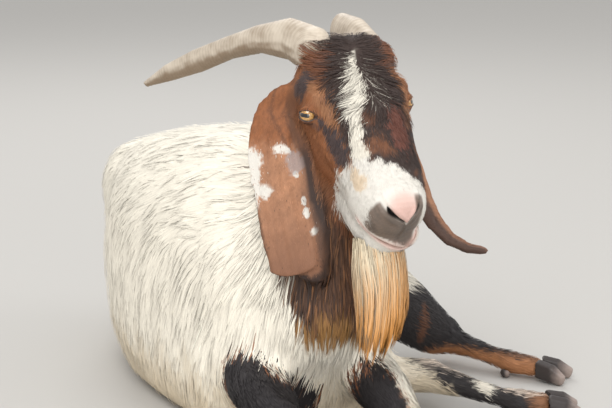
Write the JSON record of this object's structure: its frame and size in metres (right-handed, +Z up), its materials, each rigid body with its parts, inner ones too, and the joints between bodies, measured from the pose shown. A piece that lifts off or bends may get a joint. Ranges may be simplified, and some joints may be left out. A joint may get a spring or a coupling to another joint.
{
  "type": "goat",
  "caption": "Still life-size adult goat buck lying on its chest, head raised, with swept-back horns, long drooping ears and a beard.",
  "frame": {"origin": "middle of the model's bounding box, on the floor it lies on", "axes": "+Z up, the goat faces -Y, its left side is +X"},
  "size_m": [0.6592, 0.9224, 0.5858],
  "materials": {
    "coat_white": "matte",
    "coat_brown": "matte",
    "coat_black": "matte",
    "ear": "matte",
    "horn": "satin",
    "hoof": "satin",
    "eye": "gloss"
  },
  "bodies": {
    "root": {"trunk": "coat_white", "tail": "coat_white", "beard": "coat_white", "neck": "coat_brown", "head": "coat_brown", "ear_right": "ear", "ear_left": "ear", "eye_right": "eye", "eye_left": "eye", "horn_right": "horn", "horn_left": "horn", "foreleg_right": "coat_black", "foreleg_left": "coat_black", "hindleg_right": "coat_black", "hindleg_left": "coat_black", "hoof_foreleg_right_outer": "hoof", "hoof_foreleg_right_inner": "hoof", "hoof_foreleg_left_outer": "hoof", "hoof_foreleg_left_inner": "hoof", "hoof_hindleg_right_outer": "hoof", "hoof_hindleg_right_inner": "hoof", "hoof_hindleg_left_outer": "hoof", "hoof_hindleg_left_inner": "hoof", "dewclaw_foreleg_right_outer": "hoof", "dewclaw_foreleg_right_inner": "hoof", "dewclaw_foreleg_left_outer": "hoof", "dewclaw_foreleg_left_inner": "hoof", "dewclaw_hindleg_right_outer": "hoof", "dewclaw_hindleg_right_inner": "hoof", "dewclaw_hindleg_left_outer": "hoof", "dewclaw_hindleg_left_inner": "hoof"}
  },
  "joints": []
}
